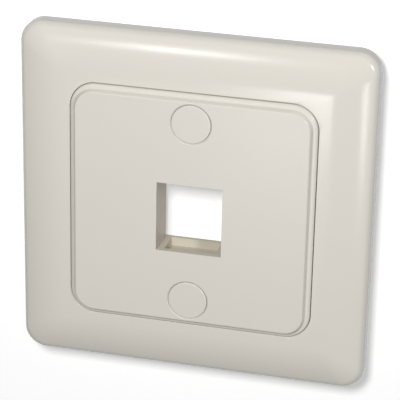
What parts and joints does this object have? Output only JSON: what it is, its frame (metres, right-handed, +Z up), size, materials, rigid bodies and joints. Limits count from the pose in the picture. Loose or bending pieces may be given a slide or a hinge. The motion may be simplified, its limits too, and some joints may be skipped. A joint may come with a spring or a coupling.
{
  "type": "keystone faceplate",
  "caption": "Square flush wall faceplate with crowned frame, stepped centre plate holding a keystone port, push-in screw caps, plate screws and a slotted steel support ring.",
  "frame": {"origin": "middle of the wall plane, on which the frame's rim and the support ring's back lie", "axes": "+Z up as installed, +X to the right seen from the front, +Y into the wall, so the front faces -Y"},
  "size_m": [0.08, 0.0125, 0.08],
  "materials": {
    "frame_plastic": "glossy ivory",
    "plate_plastic": "glossy ivory",
    "cap_plastic": "glossy ivory",
    "screw_steel": "zinc plated",
    "ring_steel": "zinc plated"
  },
  "bodies": {
    "root": {"outer_frame": "frame_plastic", "centre_plate": "plate_plastic", "screw_cap_top": "cap_plastic", "screw_cap_bottom": "cap_plastic", "plate_screw_top": "screw_steel", "plate_screw_bottom": "screw_steel", "support_ring": "ring_steel"}
  },
  "joints": []
}
